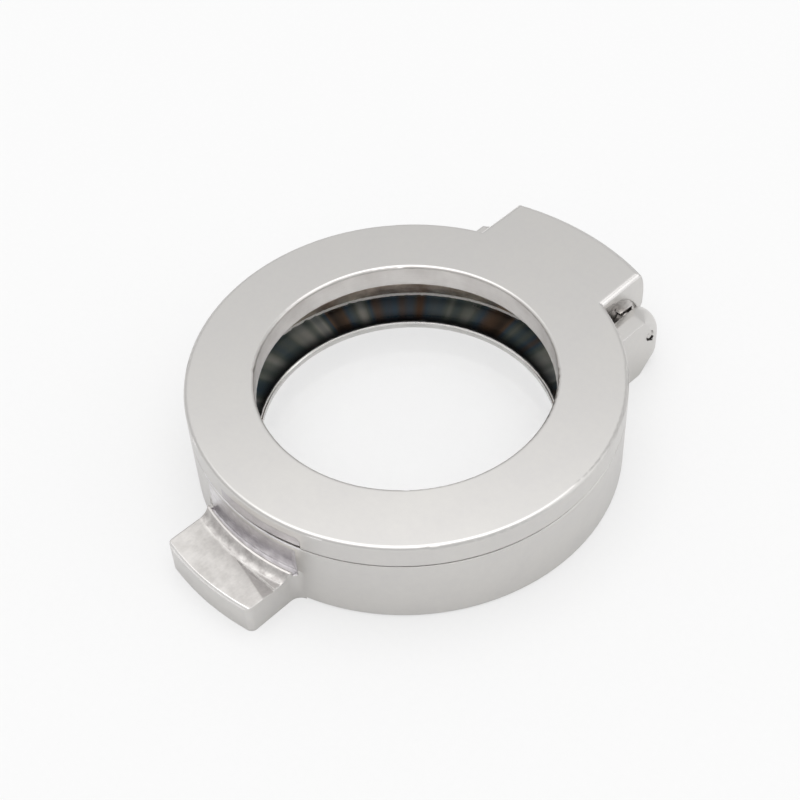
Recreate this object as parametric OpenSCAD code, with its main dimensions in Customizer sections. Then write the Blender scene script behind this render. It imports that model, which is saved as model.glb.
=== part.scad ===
// Hinged sight glass: a round stainless window frame whose ring lid opens on a pin hinge.
// Origin: on the axis of the window, in the plane of the bottom face.
// +Z points out through the lid, +Y towards the hinge, and the finger lug is at -Y.

/* [Body ring] */
// Outside diameter of the body ring and of the lid ring
body_d = 100; // [84:1:140]
// Height from the bottom face to the top of the closed lid
total_h = 24; // [22:0.5:40]
// Thickness of the wall around the glass chamber
body_wall = 3.6; // [3.2:0.1:6]
// Diameter of the port through the bottom flange
port_d = 69.6; // [50:0.2:76]
// Thickness of the bottom flange, up to the face that the window stack sits on
flange_t = 2.6; // [2:0.1:6]
// Flat cut on the bottom outside edge
foot_chamfer = 0.6; // [0.3:0.1:1.5]
// Flat cut on the two edges that face each other across the seam
seam_chamfer = 0.2; // [0.1:0.05:0.5]
// Flat cut on the edge between the port and the seat face
port_chamfer = 0.35; // [0.1:0.05:0.6]

/* [Lid ring] */
// Thickness of the lid ring
lid_t = 6.05; // [4.5:0.05:8]
// Gap between the body and the closed lid
lid_gap = 0.35; // [0.2:0.05:0.6]
// Diameter of the opening in the lid
lid_bore_d = 68.4; // [50:0.2:76]
// Rounding of the outside top edge of the lid
lid_round = 0.9; // [0.3:0.1:1.5]
// Rounding of the top edge of the lid opening
bore_round = 0.7; // [0.3:0.1:1.5]
// Flat cut on the bottom edge of the lid opening
bore_chamfer = 0.4; // [0.2:0.1:1]

/* [Window stack] */
// Thickness of the glass disc
glass_t = 3; // [2:0.5:6]
// Gap around the rim of the glass disc
glass_clear = 0.4; // [0.2:0.1:1]
// Flat cut on the rim of the glass disc
glass_chamfer = 0.4; // [0.1:0.1:0.8]
// Thickness of each flat gasket
gasket_t = 0.8; // [0.5:0.1:1.5]
// Gap between a gasket or the pressure ring and the chamber wall
stack_clear = 0.25; // [0.1:0.05:0.6]
// How far the seat gasket stands back from the port
seat_setback = 0.5; // [0.2:0.1:2]
// Radial width of the pressure ring
press_w = 3.7; // [2.5:0.1:6]
// Height of the pressure ring
press_h = 6.2; // [3:0.1:12]
// Flat cut on the foot of the pressure ring
press_chamfer = 0.4; // [0.1:0.1:0.8]
// How far the cover gasket stands back from the pressure ring's inside edge
cover_setback = 0.3; // [0.1:0.1:1]

/* [Retaining ring] */
// Thickness of the spring retaining ring
clip_t = 1.4; // [1:0.1:2]
// Radial width of the retaining ring
clip_w = 2.6; // [2:0.1:4]
// How deep the retaining ring's groove goes into the chamber wall
clip_groove = 1.0; // [0.6:0.1:1.4]
// Play of the retaining ring in its groove
clip_play = 0.1; // [0.05:0.05:0.2]
// Opening between the ends of the retaining ring
clip_gap = 10; // [6:1:20]
// Diameter of the round end eyes of the retaining ring
clip_eye_d = 5; // [4:0.5:7]
// Diameter of the plier holes in the end eyes
clip_hole_d = 1.8; // [1.2:0.1:2.5]

/* [Lid seal] */
// Thickness of the round seal cord
seal_d = 1.4; // [1:0.1:2]
// How far the seal stands above the top of the body
seal_proud = 0.25; // [0.1:0.05:0.5]
// Play of the seal in its rebate
seal_play = 0.05; // [0.02:0.01:0.1]

/* [Hinge] */
// Width of the hinge plate and knuckle of the lid
knuckle_w = 38.4; // [24:0.4:48]
// Reach of the hinge plate beyond the body ring
plate_reach = 14.6; // [12:0.2:18]
// Radius of the crowned outside face of the hinge plate, seen from the side
plate_crown_r = 15; // [10:1:30]
// How far the crown's fullest height lies above the hinge pin's axis
plate_crown_up = 5.5; // [4:0.5:8]
// Rounding of the top side edges of the hinge plate
plate_round = 1.2; // [0.4:0.1:2]
// Distance of the hinge pin's axis outside the body ring
pin_out = 5.8; // [5.4:0.1:7]
// Height of the hinge pin's axis above the bottom face
pin_z = 11.5; // [8:0.5:14]
// Diameter of the hinge pin
pin_d = 2.4; // [1.8:0.1:3.4]
// Radial running clearance of the pin in the knuckle
pin_clear = 0.05; // [0.02:0.01:0.1]
// How far the pin's ends stand back from the outside of the ears
pin_setback = 0.15; // [0.05:0.05:0.4]
// Gap between the round back of the knuckle and the body ring
knuckle_clear = 0.5; // [0.4:0.1:1]
// Thickness of each ear of the body
ear_t = 5.4; // [5:0.1:8]
// Reach of the ears beyond the body ring
ear_reach = 11.6; // [11:0.1:14]
// Rounding of the top end of the ears, seen from the side
ear_top_round = 8.6; // [5:0.2:10]
// Rounding of the bottom end of the ears, seen from the side
ear_foot_round = 4.8; // [4.8:0.2:6]
// Rounding of the rim between the outside and the end of the ears
ear_rim_round = 4.6; // [1:0.2:4.8]
// Slope cut along the inside top edge of the ears: its width
ear_bevel_w = 1.7; // [0.5:0.1:2.5]
// Slope cut along the inside top edge of the ears: its depth
ear_bevel_h = 0.25; // [0.1:0.05:1]
// Side gap between the hinge plate and the ear at -X
gap_left = 0.3; // [0.2:0.05:0.6]
// Side gap between the hinge plate and the ear at +X
gap_right = 2; // [1.2:0.1:3]
// Depth of the arched relief in each end of the hinge plate
relief_depth = 0.6; // [0.2:0.1:1.2]
// Radius of the arched relief in each end of the hinge plate
relief_r = 13.5; // [10:0.5:15]
// How far the relief's centre lies from the pin's axis, towards the body ring
relief_back = 8.5; // [7:0.5:10]
// How far the relief's centre lies below the pin's axis
relief_drop = 3.6; // [2:0.2:5]
// How far the outside face of the hinge plate slopes in towards the knuckle
plate_slope = 2; // [1:0.2:3]
// How far the knuckle ends short of each end of the hinge plate, where the spacers sit
end_step = 1.9; // [1.3:0.1:4]
// Side play of each spacer between the knuckle and its ear
spacer_play = 0.15; // [0.05:0.05:0.3]
// Outside diameter of the spacers
spacer_d = 4.8; // [4.4:0.1:5.6]
// Radial room around the spacers inside the lid
spacer_room = 0.35; // [0.3:0.05:0.6]
// Radial clearance of the pin in the spacers
spacer_clear = 0.1; // [0.05:0.05:0.3]

/* [Finger lug] */
// Width of the finger lug
lug_w = 26.6; // [16:0.2:36]
// Reach of the finger lug beyond the body ring
lug_reach = 13; // [8:0.2:20]
// Height of the finger lug at its outer edge
lug_h = 8.2; // [5:0.2:11]
// Rounding of the outer top edge of the lug
lug_edge_round = 0.8; // [0.3:0.1:1.5]
// How far the dished top of the lug dips below its outer edge
lug_dip = 0.3; // [0:0.1:1.5]
// Height of the ridge at the root of the lug
ridge_z = 9.5; // [7:0.1:12]
// Distance of the ridge outside the body ring
ridge_out = 1.3; // [0.8:0.1:2]
// Width of the sloping crest of the ridge
ridge_crest = 0.6; // [0.3:0.1:1]
// How far the crest falls from the groove to the hollow
ridge_fall = 0.15; // [0:0.05:0.4]
// Radius of the hollow that rises to the ridge
ridge_hollow = 3; // [2:0.1:5]
// How far the straight tool pass across the lug lies outside the body ring
pass_out = 4.1; // [3.5:0.1:6]
// How far the tool pass leans down towards the +X side, in degrees
pass_lean = 1.6; // [0:0.1:3]
// Slope of the tool pass, in height for each millimetre outwards
pass_slope = 0.16; // [0.1:0.01:0.3]
// Radius where the lug's sides run into the body ring
lug_root_round = 3; // [1:0.5:5]
// Radius of the upright corners of the lug
lug_corner_round = 1.6; // [0.5:0.1:3]

/* [Thumb pocket] */
// Depth of the pocket in the body ring at the middle of the lug
pocket_depth = 0.6; // [0.4:0.1:1]
// How far the pocket's cut is off centre, so that it is deeper towards +X
pocket_shift = 2.4; // [0:0.1:3]
// Width of the pocket in the body ring
pocket_w = 30; // [16:1:36]
// Radius of the cutter that leaves the ends of the pocket
pocket_end_r = 2; // [1:0.5:4]
// Height of the groove's floor behind the ridge, above the bottom face
groove_floor = 7.4; // [4:0.2:9]
// Height of the rim that is left above the pocket
pocket_rim = 1.3; // [0.8:0.1:3]
// Depth of the notch in the lid ring at the middle of the lug
notch_depth = 0.15; // [0.1:0.05:0.6]
// How far the notch's cut is off centre, so that it is deeper towards +X
notch_shift = 1.2; // [0:0.1:2]
// Width of the notch in the lid ring
notch_w = 31; // [16:1:40]
// Height of the notch in the lid ring
notch_h = 3.3; // [1.5:0.1:4.5]
// Radius of the upper corners of the notch
notch_corner = 1.4; // [0.5:0.1:2]

/* [Hidden] */
$fn = 96;
eps = 0.01;
// How far a cut runs on past what it cuts
over = 1;
big = 300;
body_r = body_d / 2;
port_r = port_d / 2;
lid_bore_r = lid_bore_d / 2;
chamber_r = body_r - body_wall;
lid_z = total_h - lid_t;
body_h = lid_z - lid_gap;
// Window stack, from the seat face upwards
stack_r = chamber_r - stack_clear;
glass_r = chamber_r - glass_clear;
glass_z = flange_t + gasket_t;
cover_gasket_z = glass_z + glass_t;
press_z = cover_gasket_z + gasket_t;
press_in_r = stack_r - press_w;
// Retaining ring and its groove, on top of the pressure ring
clip_floor_z = press_z + press_h;
clip_groove_r = chamber_r + clip_groove;
clip_out_r = clip_groove_r - clip_play;
clip_eye_r = chamber_r - clip_eye_d / 2 - clip_play;
clip_eye_angle = asin((clip_gap + clip_eye_d) / 2 / clip_eye_r);
// Seal in the rebate at the mouth of the chamber
rebate_r = chamber_r + seal_d + 2 * seal_play;
rebate_z = body_h + seal_proud - seal_d - seal_play;
// Hinge
plate_half = knuckle_w / 2;
plate_r = body_r + plate_reach;
plate_crown_z = pin_z + plate_crown_up;
plate_top_r = plate_r - plate_crown_r + sqrt(pow(plate_crown_r, 2) - pow(total_h - plate_crown_z, 2));
pin_y = body_r + pin_out;
pin_r = pin_d / 2;
barrel_r = pin_out - knuckle_clear;
barrel_half = plate_half - end_step;
ear_y = body_r + ear_reach;
ear_left_x = -plate_half - gap_left;
ear_right_x = plate_half + gap_right;
pin_left_x = ear_left_x - ear_t + pin_setback;
pin_right_x = ear_right_x + ear_t - pin_setback;
pin_tip = 0.35;
hole_sink = 0.3;
ear_root_y = sqrt(pow(chamber_r, 2) - pow(ear_right_x + ear_t, 2));
plate_root_y = sqrt(pow(body_r, 2) - pow(plate_half, 2)) - over;
web_y = pin_y - 0.7 * barrel_r;
// Corners of the cut that leaves room for the spacers under the ends of the plate
room_r = spacer_d / 2 + spacer_room;
step_heel_y = pin_y - 0.85 * barrel_r;
step_crest_y = pin_y - barrel_r / 3;
// Finger lug
lug_half = lug_w / 2;
lug_r = body_r + lug_reach;
lug_root_y = -sqrt(pow(chamber_r, 2) - pow(lug_half, 2));
ridge_r = body_r + ridge_out;
crest_in_r = ridge_r - ridge_crest / 2;
crest_out_r = ridge_r + ridge_crest / 2;
crest_low_z = ridge_z - ridge_fall;
lug_low_z = lug_h - lug_dip;
hollow_z = lug_low_z + ridge_hollow;
hollow_r = crest_out_r + sqrt(pow(ridge_hollow, 2) - pow(hollow_z - crest_low_z, 2));
// Thumb pocket
pocket_floor = lug_h + eps;
pocket_top = body_h - pocket_rim;
pocket_cut_r = body_r - pocket_depth;
pocket_end_x = pocket_w / 2 - pocket_end_r;
pocket_end_y = -sqrt(pow(pocket_cut_r + pocket_end_r, 2) - pow(pocket_end_x, 2));
notch_cut_r = body_r - notch_depth;

STEEL = "#CDCBC8";
TURNED = "#A9A7A4";
RUBBER = "#2A2A2B";
GRAPHITE = "#4A4C50";
GLASS = "#CFE6E088";

// A flat ring between radii r1 and r2 that stands on height z.
module flat_ring(r1, r2, z, h) {
    translate([0, 0, z])
        difference() {
            cylinder(r = r2, h = h);
            translate([0, 0, -eps]) cylinder(r = r1, h = h + 2 * eps);
        }
}

// A bar along X whose outline is drawn with Y to the right and Z upwards.
module along_x(x1, x2) {
    translate([x1, 0, 0]) rotate([90, 0, 90]) linear_extrude(x2 - x1) children();
}

// A bar along Y whose outline is drawn with X to the right and Z upwards.
module along_y(y1, y2) {
    translate([0, y2, 0]) rotate([90, 0, 0]) linear_extrude(y2 - y1) children();
}

// A round bar on the axis of the hinge.
module on_pin(x1, x2, r) {
    translate([x1, pin_y, pin_z]) rotate([0, 90, 0]) cylinder(r = r, h = x2 - x1);
}

// What is left of a square corner outside its rounding, for cutting away.
// The corner is at [x, y] and sx, sy are +1 or -1 towards the outside.
module corner_waste(x, y, r, sx, sy) {
    translate([x, y])
        scale([sx, sy])
            difference() {
                translate([-r, -r]) square(r + over);
                translate([-r, -r]) circle(r = r);
            }
}

// ---- Body ----

// A disc on an axis along X, with its rim rounded on the outside of the ear.
module ear_disc(r) {
    translate([0, ear_y - r, 0])
        rotate([0, 90, 0])
            rotate_extrude($fn = 64)
                difference() {
                    square([r, ear_t]);
                    corner_waste(r, ear_t, ear_rim_round, 1, 1);
                }
}

// A hinge ear with its inside face at x = 0 and its outside at x = ear_t.
module ear() {
    difference() {
        hull() {
            translate([0, 0, body_h - ear_top_round]) ear_disc(ear_top_round);
            translate([0, 0, ear_foot_round]) ear_disc(ear_foot_round);
            translate([0, ear_root_y, 0])
                cube([ear_t, ear_y - ear_top_round - ear_root_y, body_h]);
        }
        along_y(0, big)
            polygon([[-ear_bevel_w, body_h - 2 * ear_bevel_h], [ear_bevel_w, body_h],
                     [ear_bevel_w, body_h + over], [-ear_bevel_w, body_h + over]]);
        on_pin(-over, ear_t + over, pin_r);
        translate([ear_t - hole_sink, pin_y, pin_z])
            rotate([0, 90, 0])
                cylinder(r1 = pin_r, r2 = pin_r + 2 * hole_sink, h = 2 * hole_sink);
    }
}

// Outline of the finger lug, seen from above.
module lug_outline() {
    corner_x = lug_half - lug_corner_round;
    corner_y = -sqrt(pow(lug_r - lug_corner_round, 2) - pow(corner_x, 2));
    root_x = lug_half + lug_root_round;
    root_y = -sqrt(pow(body_r + lug_root_round, 2) - pow(root_x, 2));
    intersection() {
        circle(r = lug_r);
        polygon([[0, 0], [-2 * corner_x, 2 * corner_y], [2 * corner_x, 2 * corner_y]]);
    }
    translate([-lug_half, corner_y]) square([lug_w, lug_root_y - corner_y]);
    for (side = [-1, 1]) {
        translate([side * corner_x, corner_y]) circle(r = lug_corner_round);
        difference() {
            polygon([[0, root_y], [side * root_x, root_y],
                     [side * root_x * body_r / (body_r + lug_root_round),
                      root_y * body_r / (body_r + lug_root_round)], [0, lug_root_y]]);
            translate([side * root_x, root_y]) circle(r = lug_root_round);
        }
    }
}

// The lug, with its dished top and the ridge at its root.
module lug() {
    difference() {
        linear_extrude(ridge_z) lug_outline();
        rotate_extrude() {
            translate([hollow_r, hollow_z]) circle(r = ridge_hollow);
            polygon([[hollow_r, lug_low_z], [lug_r, lug_h], [lug_r + over, lug_h],
                     [lug_r + over, ridge_z + over], [hollow_r, ridge_z + over]]);
            polygon([[crest_in_r, ridge_z], [crest_out_r, crest_low_z],
                     [crest_out_r, ridge_z + over], [crest_in_r, ridge_z + over]]);
            corner_waste(lug_r, lug_h, lug_edge_round, 1, 1);
        }
        tool_pass();
    }
}

// The flat that the last straight pass of the cutter leaves along the hollow, deeper towards +X.
module tool_pass() {
    pass_y = -body_r - pass_out;
    pass_w = lug_reach - pass_out;
    rotate([0, pass_lean, 0])
        along_x(0, lug_w)
            polygon([[pass_y, lug_low_z], [pass_y - pass_w, lug_low_z + pass_w * pass_slope],
                     [pass_y - pass_w, ridge_z + over], [pass_y, ridge_z + over]]);
}

// What the thumb pocket's cutter leaves standing, seen from above: it went round off centre.
module pocket_core() {
    translate([-pocket_shift, 0]) circle(r = pocket_cut_r);
}

// The space that the thumb goes into: a shallow cut in the ring above the lug, whose ends run out
// on the cutter's radius, and the groove behind the ridge.
module thumb_pocket() {
    translate([0, 0, pocket_floor])
        linear_extrude(pocket_top - pocket_floor)
            difference() {
                intersection() {
                    union() {
                        polygon([[0, 0], [-pocket_end_x, pocket_end_y] * big / body_r,
                                 [pocket_end_x, pocket_end_y] * big / body_r]);
                        for (side = [-1, 1])
                            translate([side * pocket_end_x, pocket_end_y]) circle(r = pocket_end_r);
                    }
                    circle(r = crest_in_r);
                }
                pocket_core();
            }
    translate([0, 0, groove_floor])
        linear_extrude(ridge_z - groove_floor)
            difference() {
                intersection() {
                    circle(r = crest_in_r);
                    translate([-lug_half, -big]) square([lug_w, big]);
                }
                pocket_core();
            }
}

module body() {
    color(STEEL)
        difference() {
            union() {
                rotate_extrude()
                    polygon([[0, 0], [body_r - foot_chamfer, 0], [body_r, foot_chamfer],
                             [body_r, body_h - seam_chamfer], [body_r - seam_chamfer, body_h],
                             [0, body_h]]);
                translate([ear_right_x, 0, 0]) ear();
                translate([ear_left_x, 0, 0]) mirror([1, 0, 0]) ear();
                lug();
            }
            translate([0, 0, -over]) cylinder(r = port_r, h = total_h);
            translate([0, 0, flange_t - port_chamfer])
                cylinder(r1 = port_r, r2 = port_r + 2 * port_chamfer, h = 2 * port_chamfer);
            translate([0, 0, flange_t]) cylinder(r = chamber_r, h = total_h);
            translate([0, 0, clip_floor_z]) cylinder(r = clip_groove_r, h = clip_t + clip_play);
            translate([0, 0, rebate_z]) cylinder(r = rebate_r, h = total_h);
            thumb_pocket();
        }
}

// ---- Window stack ----

module seat_gasket() {
    color(GRAPHITE) flat_ring(port_r + seat_setback, stack_r, flange_t, gasket_t);
}

module glass_disc() {
    color(GLASS)
        rotate_extrude()
            polygon([[0, glass_z], [glass_r - glass_chamfer, glass_z],
                     [glass_r, glass_z + glass_chamfer],
                     [glass_r, glass_z + glass_t - glass_chamfer],
                     [glass_r - glass_chamfer, glass_z + glass_t], [0, glass_z + glass_t]]);
}

module cover_gasket() {
    color(RUBBER) flat_ring(press_in_r + cover_setback, stack_r, cover_gasket_z, gasket_t);
}

module pressure_ring() {
    top_z = press_z + press_h;
    color(TURNED)
        rotate_extrude()
            polygon([[press_in_r + press_chamfer, press_z], [stack_r, press_z], [stack_r, top_z],
                     [press_in_r + press_chamfer, top_z], [press_in_r, top_z - press_chamfer],
                     [press_in_r, press_z + press_chamfer]]);
}

module retaining_ring() {
    eye_side = [-1, 1];
    color(TURNED)
        translate([0, 0, clip_floor_z + clip_play / 2])
            linear_extrude(clip_t)
                difference() {
                    union() {
                        difference() {
                            circle(r = clip_out_r);
                            circle(r = clip_out_r - clip_w);
                            polygon([[0, 0],
                                     big * [-sin(clip_eye_angle), -cos(clip_eye_angle)],
                                     big * [sin(clip_eye_angle), -cos(clip_eye_angle)]]);
                        }
                        for (side = eye_side)
                            rotate(side * clip_eye_angle)
                                translate([0, -clip_eye_r]) circle(d = clip_eye_d);
                    }
                    for (side = eye_side)
                        rotate(side * clip_eye_angle)
                            translate([0, -clip_eye_r]) circle(d = clip_hole_d);
                }
}

module lid_seal() {
    color(RUBBER)
        rotate_extrude()
            translate([chamber_r + seal_play + seal_d / 2, rebate_z + seal_play + seal_d / 2])
                circle(d = seal_d);
}

// ---- Lid ----

// Section of the hinge plate and the middle of the knuckle.
module knuckle_section() {
    translate([plate_root_y, lid_z]) square([plate_r, lid_t]);
    translate([web_y, pin_z]) square([plate_r, lid_z - pin_z + eps]);
    translate([pin_y, pin_z]) circle(r = barrel_r);
}

// What is cut away under each end of the plate, so that a spacer can stand on the pin there.
module end_step_section() {
    polygon([[0, lid_z], [step_heel_y, lid_z],
             [step_crest_y, pin_z + room_r + spacer_room], [pin_y + room_r, pin_z + room_r],
             [pin_y + room_r, 0], [0, 0]]);
}

module hinge_plate() {
    difference() {
        intersection() {
            along_x(-plate_half, plate_half) knuckle_section();
            along_y(0, big)
                difference() {
                    translate([-plate_half, 0]) square([knuckle_w, total_h]);
                    corner_waste(plate_half, total_h, plate_round, 1, 1);
                    corner_waste(-plate_half, total_h, plate_round, -1, 1);
                }
            rotate_extrude()
                difference() {
                    intersection() {
                        polygon([[0, 0], [plate_r - plate_slope, 0],
                                 [plate_r - plate_slope, pin_z - plate_slope],
                                 [plate_r, pin_z + plate_slope], [plate_r, total_h], [0, total_h]]);
                        union() {
                            square([plate_r, plate_crown_z]);
                            square([plate_r - plate_crown_r, total_h]);
                            translate([plate_r - plate_crown_r, plate_crown_z])
                                circle(r = plate_crown_r);
                        }
                    }
                    corner_waste(plate_top_r, total_h, lid_round, 1, 1);
                }
        }
        for (side = [-1, 1]) {
            scale([side, 1, 1]) {
                along_x(plate_half - relief_depth, plate_half + over)
                    translate([pin_y - relief_back, pin_z - relief_drop]) circle(r = relief_r);
                along_x(barrel_half, plate_half + over) end_step_section();
            }
        }
    }
}

// The notch that lets a thumb get under the edge of the lid.
module lid_notch() {
    intersection() {
        difference() {
            cylinder(r = body_r + over, h = lid_z + lid_t);
            translate([-notch_shift, 0, -over]) cylinder(r = notch_cut_r, h = big);
        }
        along_y(-big, 0)
            difference() {
                translate([-notch_w / 2, lid_z - over]) square([notch_w, notch_h + over]);
                corner_waste(notch_w / 2, lid_z + notch_h, notch_corner, 1, 1);
                corner_waste(-notch_w / 2, lid_z + notch_h, notch_corner, -1, 1);
            }
    }
}

module lid() {
    color(STEEL)
        difference() {
            union() {
                rotate_extrude()
                    difference() {
                        polygon([[0, lid_z], [body_r - seam_chamfer, lid_z],
                                 [body_r, lid_z + seam_chamfer], [body_r, total_h], [0, total_h]]);
                        corner_waste(body_r, total_h, lid_round, 1, 1);
                    }
                hinge_plate();
            }
            rotate_extrude()
                union() {
                    square([lid_bore_r, total_h + over]);
                    corner_waste(lid_bore_r, total_h, bore_round, -1, 1);
                    polygon([[0, lid_z - over], [lid_bore_r + bore_chamfer + over, lid_z - over],
                             [lid_bore_r, lid_z + bore_chamfer], [0, lid_z + bore_chamfer]]);
                }
            on_pin(-big, big, pin_r + pin_clear);
            lid_notch();
        }
}

// ---- Hinge pin and spacers ----

module hinge_pin() {
    length = pin_right_x - pin_left_x;
    color(TURNED)
        translate([pin_left_x, pin_y, pin_z])
            rotate([0, 90, 0])
                rotate_extrude()
                    polygon([[0, 0], [pin_r - pin_tip, 0], [pin_r, pin_tip],
                             [pin_r, length - pin_tip], [pin_r - pin_tip, length], [0, length]]);
}

// A tube on the pin between x1 and x2.
module spacer(x1, x2) {
    color(TURNED)
        difference() {
            on_pin(x1, x2, spacer_d / 2);
            on_pin(x1 - over, x2 + over, pin_r + spacer_clear);
        }
}

module spacer_left() {
    spacer(ear_left_x + spacer_play, -barrel_half - spacer_play);
}

module spacer_right() {
    spacer(barrel_half + spacer_play, ear_right_x - spacer_play);
}

body();
seat_gasket();
glass_disc();
cover_gasket();
pressure_ring();
retaining_ring();
lid_seal();
lid();
hinge_pin();
spacer_left();
spacer_right();
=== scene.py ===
import math

import bpy
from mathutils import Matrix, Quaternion, Vector, noise


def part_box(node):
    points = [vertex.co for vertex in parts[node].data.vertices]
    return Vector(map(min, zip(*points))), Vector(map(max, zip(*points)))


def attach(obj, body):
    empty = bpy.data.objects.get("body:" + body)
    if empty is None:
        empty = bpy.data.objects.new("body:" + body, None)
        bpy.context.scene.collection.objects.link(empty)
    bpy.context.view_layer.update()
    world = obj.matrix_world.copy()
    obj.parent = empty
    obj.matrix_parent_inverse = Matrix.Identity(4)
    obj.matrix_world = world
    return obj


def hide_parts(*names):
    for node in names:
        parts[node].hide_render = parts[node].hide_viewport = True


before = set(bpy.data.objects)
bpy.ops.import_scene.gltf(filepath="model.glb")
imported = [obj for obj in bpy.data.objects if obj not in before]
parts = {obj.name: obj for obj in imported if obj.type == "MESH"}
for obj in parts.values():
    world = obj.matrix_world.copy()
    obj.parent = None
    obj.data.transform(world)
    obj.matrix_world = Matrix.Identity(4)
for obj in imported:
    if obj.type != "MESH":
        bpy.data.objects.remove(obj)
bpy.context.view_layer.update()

# ---- Body ----
# The lower half of the holder: one stainless investment casting with the chamber for the window,
# the two hinge ears and the finger lug. The chamber and the port are turned, the thumb pocket is
# milled, the lug is dressed with a flap wheel, and the outside is bead blasted and electropolished.

MM = 0.001
body_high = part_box("body")[1]
ring_r = body_high.x
pin_low, pin_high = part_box("hinge_pin")
pin_y = (pin_low.y + pin_high.y) / 2
pin_z = (pin_low.z + pin_high.z) / 2


def colour(code):
    """A hex sRGB colour as linear RGBA."""
    channels = [int(code[i:i + 2], 16) / 255 for i in (1, 3, 5)]
    linear = [c / 12.92 if c <= 0.04045 else ((c + 0.055) / 1.055) ** 2.4 for c in channels]
    return (*linear, 1.0)


def material(name):
    """A new material and its empty node tree."""
    made = bpy.data.materials.new(name)
    made.use_nodes = True
    made.node_tree.nodes.clear()
    return made, made.node_tree


def add(tree, kind, inputs=None, **settings):
    """Adds a node with its settings. inputs maps a socket to a value or to another node's socket."""
    made = tree.nodes.new(kind)
    for name, value in settings.items():
        setattr(made, name, value)
    for socket, value in (inputs or {}).items():
        if isinstance(value, bpy.types.NodeSocket):
            tree.links.new(value, made.inputs[socket])
        else:
            made.inputs[socket].default_value = value
    return made


def in_place(tree):
    """Where a point of the part is, so that a pattern on it lies the same way on every side."""
    return add(tree, "ShaderNodeTexCoord").outputs["Object"]


def round_axis(tree):
    """A place that changes only across a lathe's feed: outwards on a flat face, upwards on a wall."""
    split = add(tree, "ShaderNodeSeparateXYZ", {0: in_place(tree)})
    flat = add(tree, "ShaderNodeCombineXYZ", {"X": split.outputs["X"], "Y": split.outputs["Y"]})
    reach = add(tree, "ShaderNodeVectorMath", {0: flat.outputs[0]}, operation="LENGTH")
    facing = add(
        tree, "ShaderNodeSeparateXYZ", {0: add(tree, "ShaderNodeNewGeometry").outputs["Normal"]}
    )
    level = add(tree, "ShaderNodeMath", {0: facing.outputs["Z"], 1: 0.7}, operation="GREATER_THAN")
    outwards = add(
        tree, "ShaderNodeMath", {0: reach.outputs["Value"], 1: level.outputs[0]}, operation="MULTIPLY"
    )
    feed = {"X": outwards.outputs[0], "Z": split.outputs["Z"]}
    return add(tree, "ShaderNodeCombineXYZ", feed).outputs[0]


def flap_strokes(tree):
    """Strokes of the flap wheel on the lug, which run from the ring outwards."""
    return add(
        tree, "ShaderNodeMapping",
        {"Vector": in_place(tree), "Rotation": (0, 0, math.radians(12)), "Scale": (1.0, 0.4, 1.0)},
    ).outputs[0]


def stainless(name, light, dark, polish, cloud_mm, marks, mark_mm, depth_mm, ease_mm=0.4):
    """Stainless steel: soft clouds of tone and gloss, tool marks of one width and depth that run
    as the function marks lays them, and edges that tumbling has eased."""
    made, tree = material(name)
    tool = add(
        tree, "ShaderNodeTexNoise",
        {"Vector": marks(tree), "Scale": 1 / (mark_mm * MM), "Detail": 2.0, "Roughness": 0.6},
    ).outputs["Fac"]
    clouds = add(
        tree, "ShaderNodeTexNoise",
        {"Vector": in_place(tree), "Scale": 1 / (cloud_mm * MM), "Detail": 3.0, "Roughness": 0.6},
    ).outputs["Fac"]
    both = add(
        tree, "ShaderNodeMix", {"Factor": 0.25, "A": clouds, "B": tool}, data_type="FLOAT"
    ).outputs["Result"]
    tone = add(tree, "ShaderNodeValToRGB", {"Fac": both})
    tone.color_ramp.elements[0].position = 0.36
    tone.color_ramp.elements[0].color = colour(dark)
    tone.color_ramp.elements[1].position = 0.64
    tone.color_ramp.elements[1].color = colour(light)
    gloss = add(
        tree, "ShaderNodeMapRange",
        {"Value": both, "From Min": 0.36, "From Max": 0.64, "To Min": polish[1], "To Max": polish[0]},
    )
    eased = add(tree, "ShaderNodeBevel", {"Radius": ease_mm * MM}, samples=6)
    bumps = add(
        tree, "ShaderNodeBump",
        {"Height": tool, "Distance": depth_mm * MM, "Normal": eased.outputs["Normal"]},
    )
    metal = add(
        tree, "ShaderNodeBsdfPrincipled",
        {"Base Color": tone.outputs["Color"], "Metallic": 1.0,
         "Roughness": gloss.outputs["Result"], "Normal": bumps.outputs["Normal"]},
    )
    add(tree, "ShaderNodeOutputMaterial", {"Surface": metal.outputs[0]})
    return made


def finished_copy(node, name, finishes, pick):
    """A copy of a CAD part with a finish for each of its faces. pick gets a face's points and
    its normal, and says which of the finishes it has."""
    mesh = parts[node].data.copy()
    mesh.materials.clear()
    for finish in finishes:
        mesh.materials.append(finish)
    for face in mesh.polygons:
        points = [mesh.vertices[i].co for i in face.vertices]
        face.material_index = pick(points, face.normal)
    piece = bpy.data.objects.new(name, mesh)
    bpy.context.scene.collection.objects.link(piece)
    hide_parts(node)
    return piece


# Electropolished 316L after a fine bead blast: an even pale satin with no direction. The blast's
# 0.1 mm dimples are drawn 1.5 mm wide and very shallow, as finer ones would only read as noise.
blasted = stainless(
    "electropolished_stainless", "#D3D1CE", "#CECCCA", (0.28, 0.31), 16, in_place, 1.5, 0.0008,
)
# Milled and left so: duller and a little violet, with blotches and the cutter's fine lines.
milled = stainless(
    "milled_stainless", "#F1EFF0", "#CFCCCE", (0.28, 0.42), 3.2, round_axis, 0.6, 0.012,
)
# Dressed by hand with a flap wheel: short strokes in a patchy satin.
flapped = stainless(
    "flap_dressed_stainless", "#DAD7D4", "#C2BFBC", (0.28, 0.42), 3.5, flap_strokes, 0.8, 0.008,
)
# Turned and bored: fine rings of one feed, brighter than the blasted skin.
bored = stainless(
    "bored_stainless", "#DFDCD9", "#CFCBC8", (0.28, 0.34), 8, round_axis, 0.5, 0.004,
)
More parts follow.
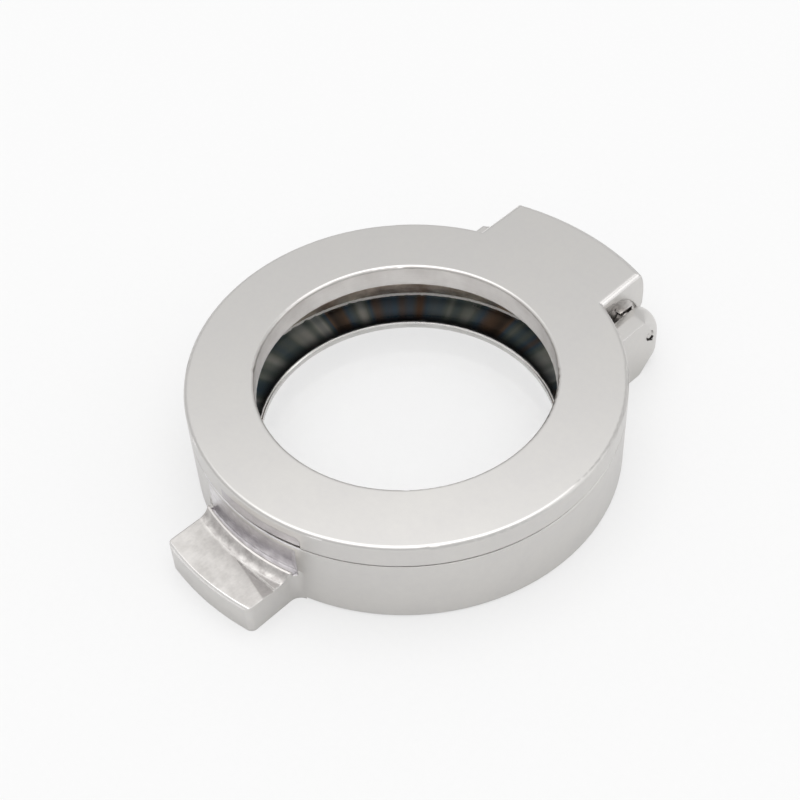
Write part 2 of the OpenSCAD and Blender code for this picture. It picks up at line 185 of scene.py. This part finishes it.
# Lapped: the port and its edge are nearly mirror bright, as the medium runs past them.
lapped = stainless(
    "lapped_stainless", "#F1F0EE", "#E6E4E2", (0.08, 0.16), 6, round_axis, 0.8, 0.002, 0.15,
)

# Edges that the wheel has broken and hands have rubbed: glossier, and painted the brightest metal on the
# outside as a painted highlight.
rubbed_and_highlight = stainless(
    "rubbed_stainless_painted_highlight", "#ECEAE8", "#E0DEDC", (0.14, 0.22), 5, in_place, 0.6, 0.002,
)
# The hollow beside the ring, where the wheel doesn't reach: scraped, dull, speckled and painted darker
# as painted shade.
scraped_and_shaded = stainless(
    "scraped_stainless_painted_shade", "#D4D1CE", "#ACA8A6", (0.36, 0.50), 2.2, in_place, 0.8, 0.012,
)
# Painted shade in the pin hole of each ear, above and below the pin: nearly black steel.
pin_hole_painted_shade = stainless(
    "pin_hole_painted_shade_stainless", "#3A3735", "#1E1C1B", (0.40, 0.55), 1, in_place, 0.3, 0.004, 0.05,
)

BLASTED, MILLED, FLAPPED, BORED, LAPPED, RUBBED_AND_HIGHLIGHT, SCRAPED_AND_SHADED, PIN_HOLE_SHADE = range(8)
chamber_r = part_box("lid_seal")[1].x - 1.5 * MM
port_r = 34.8 * MM
pocket_half = 15.6 * MM
ridge_r = ring_r + 1.3 * MM
ridge_z = 9.5 * MM
groove_z = 7.3 * MM
lug_rise = 7.0 * MM
lug_out_r = ring_r + 13 * MM
hollow_r = ring_r + 5 * MM
skin = 0.02 * MM


def radius(point):
    return math.hypot(point.x, point.y)


def body_finish(points, normal):
    nearest = min(radius(p) for p in points)
    farthest = max(radius(p) for p in points)
    low = min(p.z for p in points)
    centre = sum(points, Vector()) / len(points)
    outwards = normal.x * centre.x + normal.y * centre.y
    in_pocket = centre.y < 0 and abs(centre.x) < pocket_half and low > groove_z
    on_crest = centre.y < -ring_r + 4 * MM and low > ridge_z - 0.25 * MM and normal.z > 0.5
    if on_crest and ring_r - skin < nearest and farthest < ridge_r + 0.5 * MM:
        return BORED
    if farthest < port_r + 0.4 * MM:
        return LAPPED
    if farthest < ring_r - skin and not in_pocket:
        return BORED
    if centre.z > body_high.z - skin and farthest < ring_r + skin:
        return BORED
    if in_pocket and farthest < ridge_r and nearest < ring_r - skin:
        return BORED if nearest < chamber_r + 2 * MM and outwards < 0 else MILLED
    if in_pocket and farthest < ridge_r and outwards < 0:
        return MILLED
    if centre.y < -ring_r and low > lug_rise - skin and normal.z > 0.2:
        # The lug's outer top edge gets the lighter colour of a painted highlight.
        if farthest > lug_out_r - 1.2 * MM and normal.z < 0.98:
            return RUBBED_AND_HIGHLIGHT
        # The sloping faces of the hollow next to the ring get the darker colour of painted shade.
        return SCRAPED_AND_SHADED if nearest < hollow_r and normal.z < 0.995 else FLAPPED
    off_pin = math.hypot(centre.y - pin_y, centre.z - pin_z)
    # Faces round the pin hole, above and below the pin, get the nearly black painted shade.
    return PIN_HOLE_SHADE if off_pin < 2 * MM and abs(centre.z - pin_z) > 0.6 * off_pin else BLASTED


body = finished_copy("body", "body_casting", (blasted, milled, flapped, bored, lapped, rubbed_and_highlight, scraped_and_shaded,
                                             pin_hole_painted_shade), body_finish)
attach(body, "frame")

# ---- Seat gasket ----
# A flat gasket of pressed graphite foil between the seat and the glass, with a dark metallic gloss.
# Painted reflections break it into wedge-shaped patches of blue, green, brown and pale grey, and
# painted shade darkens it to near black towards its inside edge, which has crept a little under the
# load.

gasket_low, gasket_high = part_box("seat_gasket")
gasket_in_r = port_r + 0.5 * MM
gasket_creep = 0.15 * MM


def swept_ring(node, name, section):
    """A new ring in place of a CAD one. section gives the points of its outline at a direction."""
    steps = 480
    points = []
    for step in range(steps):
        angle = 2 * math.pi * step / steps
        way = Vector((math.cos(angle), math.sin(angle), 0))
        outline = section(way)
        points += [way * reach + Vector((0, 0, height)) for reach, height in outline]
    count = len(outline)
    faces = []
    for step in range(steps):
        here = step * count
        there = (step + 1) % steps * count
        for i in range(count):
            j = (i + 1) % count
            faces.append((here + i, there + i, there + j, here + j))
    mesh = bpy.data.meshes.new(name + "_mesh")
    mesh.from_pydata(points, [], faces)
    mesh.polygons.foreach_set("use_smooth", [True] * len(faces))
    mesh.set_sharp_from_angle(angle=math.radians(30))
    ring = bpy.data.objects.new(name, mesh)
    bpy.context.scene.collection.objects.link(ring)
    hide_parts(node)
    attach(ring, "frame")
    return ring


def seat_gasket_section(way):
    creep = gasket_creep * noise.noise(way * 25)
    middle = (gasket_low.z + gasket_high.z) / 2
    return ((gasket_in_r + creep, middle), (gasket_in_r + creep + gasket_creep, gasket_low.z),
            (gasket_high.x, gasket_low.z), (gasket_high.x, gasket_high.z),
            (gasket_in_r + creep + gasket_creep, gasket_high.z))


def graphite_painted_reflections_and_shade():
    made, tree = material("graphite_painted_reflections_and_shade")
    split = add(tree, "ShaderNodeSeparateXYZ", {0: in_place(tree)})
    flat = add(tree, "ShaderNodeCombineXYZ", {"X": split.outputs["X"], "Y": split.outputs["Y"]})
    way = add(tree, "ShaderNodeVectorMath", {0: flat.outputs[0]}, operation="NORMALIZE")
    # Painted reflections: patches of colour that change with the direction round the ring.
    painted_reflection_pattern = add(
        tree, "ShaderNodeTexNoise",
        {"Vector": way.outputs[0], "Scale": 4.5, "Detail": 1.5, "Roughness": 0.45},
    )
    tint = add(tree, "ShaderNodeValToRGB", {"Fac": painted_reflection_pattern.outputs["Fac"]})
    stops = ((0.32, "#2B2927"), (0.40, "#76604F"), (0.46, "#526C80"), (0.52, "#788683"),
             (0.58, "#C6CAC7"), (0.66, "#7D8C97"))
    ramp = tint.color_ramp.elements
    while len(ramp) < len(stops):
        ramp.new(0.5)
    for step, (position, shade) in zip(ramp, stops):
        step.position = position
        step.color = colour(shade)
    reach = add(tree, "ShaderNodeVectorMath", {0: flat.outputs[0]}, operation="LENGTH")
    # Painted shade: near black at the inside edge, fading out by 39.5 mm from the axis.
    painted_shade_inwards = add(
        tree, "ShaderNodeMapRange",
        {"Value": reach.outputs["Value"], "From Min": 35.3 * MM, "From Max": 39.5 * MM},
        interpolation_type="SMOOTHSTEP",
    )
    shade = add(
        tree, "ShaderNodeMix",
        {"Factor": painted_shade_inwards.outputs["Result"], "A": colour("#101011"), "B": tint.outputs["Color"]},
        data_type="RGBA",
    )
    crumbs = add(
        tree, "ShaderNodeTexNoise",
        {"Vector": in_place(tree), "Scale": 1 / (1.1 * MM), "Detail": 3.0},
    )
    bumps = add(tree, "ShaderNodeBump", {"Height": crumbs.outputs["Fac"], "Distance": 0.02 * MM})
    foil = add(
        tree, "ShaderNodeBsdfPrincipled",
        {"Base Color": shade.outputs["Result"], "Metallic": 0.65, "Roughness": 0.28,
         "Normal": bumps.outputs["Normal"]},
    )
    add(tree, "ShaderNodeOutputMaterial", {"Surface": foil.outputs[0]})
    return made


seat_gasket = swept_ring("seat_gasket", "seat_gasket_foil", seat_gasket_section)
seat_gasket.data.materials.append(graphite_painted_reflections_and_shade())

# ---- Glass disc ----
# The window: a disc of borosilicate glass, ground on its rim and fire polished on both faces. It
# is clear, so only its gloss and the bend of what lies behind it show that it is there.


def dress(node, finish):
    """Gives a CAD part one finish all over."""
    mesh = parts[node].data
    mesh.materials.clear()
    mesh.materials.append(finish)


def borosilicate_glass():
    """Clear glass with a faint wiped haze. What is seen through it is bent, while light on its way
    to the pieces below passes straight on, so that they are lit."""
    made, tree = material("borosilicate_glass")
    haze = add(
        tree, "ShaderNodeTexNoise",
        {"Vector": in_place(tree), "Scale": 1 / (9 * MM), "Detail": 4.0, "Roughness": 0.65},
    )
    wiped = add(
        tree, "ShaderNodeMapRange",
        {"Value": haze.outputs["Fac"], "From Min": 0.55, "From Max": 0.8, "To Min": 0.0, "To Max": 0.03},
    )
    pane = add(
        tree, "ShaderNodeBsdfPrincipled",
        {"Base Color": colour("#FFFFFF"), "Transmission Weight": 1.0, "IOR": 1.47,
         "Roughness": wiped.outputs["Result"]},
    )
    through = add(tree, "ShaderNodeBsdfTransparent")
    ray = add(tree, "ShaderNodeLightPath")
    second = add(
        tree, "ShaderNodeMath",
        {0: ray.outputs["Is Diffuse Ray"], 1: ray.outputs["Is Glossy Ray"]}, operation="MAXIMUM",
    )
    clear = add(
        tree, "ShaderNodeMath",
        {0: ray.outputs["Is Shadow Ray"], 1: second.outputs[0]}, operation="MAXIMUM",
    )
    lit = add(
        tree, "ShaderNodeMixShader", {0: clear.outputs[0], 1: pane.outputs[0], 2: through.outputs[0]},
    )
    add(tree, "ShaderNodeOutputMaterial", {"Surface": lit.outputs[0]})
    return made


dress("glass_disc", borosilicate_glass())

# ---- Cover gasket ----
# A flat ring of white silicone rubber that keeps the pressure ring off the glass. It is cut from
# moulded sheet with a knife, so its inside edge is ragged and shows as a thin pale line.

cover_low, cover_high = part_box("cover_gasket")
cover_in_r = 42.75 * MM
cover_ragged = 0.4 * MM


def cover_gasket_section(way):
    nick = max(0.0, noise.noise(way * 22) - 0.25) * 3
    edge = cover_in_r + cover_ragged * (0.4 * noise.noise(way * 90) + nick)
    return ((edge, cover_low.z), (cover_high.x, cover_low.z), (cover_high.x, cover_high.z),
            (edge, cover_high.z))


def rubber(name, light, dark, roughness):
    """Rubber with the fine grain of its mould."""
    made, tree = material(name)
    grain = add(
        tree, "ShaderNodeTexNoise",
        {"Vector": in_place(tree), "Scale": 1 / (0.5 * MM), "Detail": 2.0},
    )
    shade = add(
        tree, "ShaderNodeMix",
        {"Factor": grain.outputs["Fac"], "A": colour(dark), "B": colour(light)}, data_type="RGBA",
    )
    bumps = add(tree, "ShaderNodeBump", {"Height": grain.outputs["Fac"], "Distance": 0.01 * MM})
    gum = add(
        tree, "ShaderNodeBsdfPrincipled",
        {"Base Color": shade.outputs["Result"], "Roughness": roughness,
         "Normal": bumps.outputs["Normal"]},
    )
    add(tree, "ShaderNodeOutputMaterial", {"Surface": gum.outputs[0]})
    return made


cover_gasket = swept_ring("cover_gasket", "cover_gasket_silicone", cover_gasket_section)
cover_gasket.data.materials.append(rubber("white_silicone", "#F4F2EE", "#DEDBD6", 0.45))

# ---- Pressure ring ----
# A turned stainless ring that holds the window down. It is left as it came off the lathe, with fine
# rings, and painted a dark brown as a painted reflection. Its foot chamfer is dressed by hand, so the
# bright line there is uneven.

press_low, press_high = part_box("pressure_ring")
press_out_r = press_high.x
press_in_r = press_out_r - 3.7 * MM
press_cut = 0.4 * MM


def pressure_ring_section(way):
    ragged = press_cut * (1 + 0.33 * noise.noise(way * 60))
    return ((press_in_r + ragged, press_low.z), (press_out_r, press_low.z),
            (press_out_r, press_high.z), (press_in_r + press_cut, press_high.z),
            (press_in_r, press_high.z - press_cut), (press_in_r, press_low.z + ragged))


# As turned, with its dark brown painted on as a painted reflection.
turned_painted_reflection = stainless(
    "turned_stainless_painted_reflection", "#C9BAAD", "#8F8277", (0.28, 0.36), 5, round_axis, 0.35, 0.006, 0.12,
)
pressure_ring = swept_ring("pressure_ring", "pressure_ring_turned", pressure_ring_section)
pressure_ring.data.materials.append(turned_painted_reflection)

# ---- Retaining ring ----
# A spring ring with two plier eyes, stamped from spring steel and blued by its tempering. It snaps
# into the groove above the pressure ring and hides under the edge of the lid.

tempered = stainless(
    "tempered_spring_steel", "#8E8880", "#5F5A57", (0.30, 0.42), 4, in_place, 0.4, 0.006, 0.12,
)
dress("retaining_ring", tempered)

# ---- Lid seal ----
# A round rubber cord in the rebate at the mouth of the chamber, which the lid closes on.

dress("lid_seal", rubber("black_epdm", "#29292A", "#141415", 0.62))

# ---- Lid ----
# The ring that swings on the pin. It is a casting like the body: its opening and its underside are
# turned, the thumb notch is milled, and the ends of the hinge plate are left as they were cast.

lid_z = body_high.z + 0.35 * MM
bore_r = 34.2 * MM
notch_half = 15.6 * MM
plate_half = 19.2 * MM

# The skin of the casting inside the recess: dull, grey-brown and faintly pebbled.
as_cast = stainless(
    "as_cast_stainless", "#F1EFED", "#DAD7D5", (0.28, 0.38), 2.5, in_place, 0.8, 0.02, 0.12,
)
# The notch is milled a little duller than the pocket below it, and painted darker as painted shade.
notched_and_shaded = stainless(
    "notch_milled_stainless_painted_shade", "#D0CDCF", "#BCB9BB", (0.30, 0.42), 4, round_axis, 0.6, 0.008,
)
BORED_LID, MILLED_AND_SHADED_LID, CAST_LID, RUBBED_AND_HIGHLIGHT_LID = 1, 2, 3, 4


def lid_finish(points, normal):
    nearest = min(radius(p) for p in points)
    centre = sum(points, Vector()) / len(points)
    outwards = normal.x * centre.x + normal.y * centre.y
    if nearest < bore_r + 1 * MM and outwards < -0.5 * nearest:
        return BORED_LID
    if normal.z < -0.5 and centre.y < ring_r and abs(centre.z - lid_z) < 0.5 * MM:
        return BORED_LID
    in_notch = centre.y < 0 and abs(centre.x) < notch_half and nearest < ring_r - skin
    # The notch's faces get the darker colour, part duller finish and part painted shade.
    if in_notch and centre.z < lid_z + 3.4 * MM and outwards > -skin:
        return MILLED_AND_SHADED_LID
    ends = plate_half - 3 * MM < abs(centre.x) < plate_half - skin
    if ends and abs(normal.x) > 0.9 and centre.y > ring_r - 6 * MM:
        return CAST_LID
    # The rounded edges at the plate's ends get the lighter colour of a painted highlight.
    if abs(normal.x) > 0.3 and normal.z > 0.3 and abs(abs(centre.x) - plate_half) < 1.5 * MM:
        return RUBBED_AND_HIGHLIGHT_LID
    return BLASTED


lid = finished_copy("lid", "lid_casting", (blasted, bored, notched_and_shaded, as_cast, rubbed_and_highlight), lid_finish)
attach(lid, "lid")

# ---- Hinge pin and spacers ----
# A ground stainless pin pressed into the ears, and two short turned tubes on it that keep the
# knuckle centred between them.

ground = stainless(
    "ground_pin_steel", "#CFCDCA", "#B9B6B3", (0.18, 0.26), 3, in_place, 0.3, 0.002, 0.1,
)
dress("hinge_pin", ground)
dress("spacer_left", bored)
dress("spacer_right", bored)

# ---- Studio ----
# A white paper sweep under a large overhead softbox, with pale walls all round and a small softbox
# behind the hinge that draws a line of light along the edges. The paper glows a little, as lit
# paper does, and keeps the part's shadow.

paper_half = 3.0


def paper():
    made, tree = material("white_paper")
    fibres = add(
        tree, "ShaderNodeTexNoise",
        {"Vector": in_place(tree), "Scale": 1 / (1.5 * MM), "Detail": 2.0},
    )
    shade = add(
        tree, "ShaderNodeMix",
        {"Factor": fibres.outputs["Fac"], "A": colour("#E2E2E2"), "B": colour("#E6E6E6")},
        data_type="RGBA",
    )
    sheet = add(tree, "ShaderNodeBsdfDiffuse", {"Color": shade.outputs["Result"]})
    glow = add(tree, "ShaderNodeEmission", {"Color": colour("#FCFCFC"), "Strength": 1.0})
    ray = add(tree, "ShaderNodeLightPath")
    seen = add(
        tree, "ShaderNodeMath",
        {0: ray.outputs["Is Camera Ray"], 1: ray.outputs["Is Transmission Ray"]}, operation="MAXIMUM",
    )
    for_eye = add(tree, "ShaderNodeMath", {0: seen.outputs[0], 1: 0.55}, operation="MULTIPLY")
    share = add(
        tree, "ShaderNodeMath",
        {0: ray.outputs["Is Glossy Ray"], 1: 0.1, 2: for_eye.outputs[0]}, operation="MULTIPLY_ADD",
    )
    both = add(
        tree, "ShaderNodeMixShader", {0: share.outputs[0], 1: sheet.outputs[0], 2: glow.outputs[0]},
    )
    add(tree, "ShaderNodeOutputMaterial", {"Surface": both.outputs[0]})
    return made


sweep_mesh = bpy.data.meshes.new("paper_sweep_mesh")
corners = [(x * paper_half, y * paper_half, 0) for x, y in ((-1, -1), (1, -1), (1, 1), (-1, 1))]
sweep_mesh.from_pydata(corners, [], [(0, 1, 2, 3)])
sweep_mesh.materials.append(paper())
sweep = bpy.data.objects.new("paper_sweep", sweep_mesh)
bpy.context.scene.collection.objects.link(sweep)

world = bpy.data.worlds.new("studio")
world.use_nodes = True
tree = world.node_tree
tree.nodes.clear()
way = add(tree, "ShaderNodeTexCoord").outputs["Generated"]
up = add(tree, "ShaderNodeSeparateXYZ", {0: way}).outputs["Z"]
softbox = add(
    tree, "ShaderNodeMapRange",
    {"Value": up, "From Min": 0.72, "From Max": 0.93, "To Min": 0.75, "To Max": 2.2},
    interpolation_type="SMOOTHSTEP",
)
towards = add(
    tree, "ShaderNodeVectorMath", {0: way, 1: (0.68, 0.58, 0.45)}, operation="DOT_PRODUCT"
)
side_box = add(
    tree, "ShaderNodeMapRange",
    {"Value": towards.outputs["Value"], "From Min": 0.88, "From Max": 0.98, "To Max": 0.5},
    interpolation_type="SMOOTHSTEP",
)
lamps = add(
    tree, "ShaderNodeMath", {0: softbox.outputs["Result"], 1: side_box.outputs["Result"]}
)
light = add(
    tree, "ShaderNodeBackground", {"Color": (1, 1, 1, 1), "Strength": lamps.outputs[0]}
)
white = add(tree, "ShaderNodeBackground", {"Color": (1, 1, 1, 1), "Strength": 1.0})
ray = add(tree, "ShaderNodeLightPath")
straight = add(
    tree, "ShaderNodeMath",
    {0: ray.outputs["Is Camera Ray"], 1: ray.outputs["Is Transmission Ray"]}, operation="MAXIMUM",
)
seen = add(
    tree, "ShaderNodeMixShader", {0: straight.outputs[0], 1: light.outputs[0], 2: white.outputs[0]},
)
add(tree, "ShaderNodeOutputWorld", {"Surface": seen.outputs[0]})
bpy.context.scene.world = world
bpy.context.scene.view_settings.view_transform = "Standard"

# ---- Camera ----
# A short telephoto view from above the lug, a third of a metre away.

camera_place = Vector((175.8, -165.6, 278.9)) * MM
camera_aim = Vector((5.4, -7.2, 24.0)) * MM
camera_roll = math.radians(-3.45)
camera_data = bpy.data.cameras.new("camera")
camera_data.lens = 70.28
camera = bpy.data.objects.new("camera", camera_data)
bpy.context.scene.collection.objects.link(camera)
camera.location = camera_place
camera.rotation_mode = "QUATERNION"
look = (camera_aim - camera_place).to_track_quat("-Z", "Y")
camera.rotation_quaternion = look @ Quaternion((0, 0, 1), camera_roll)
bpy.context.scene.camera = camera
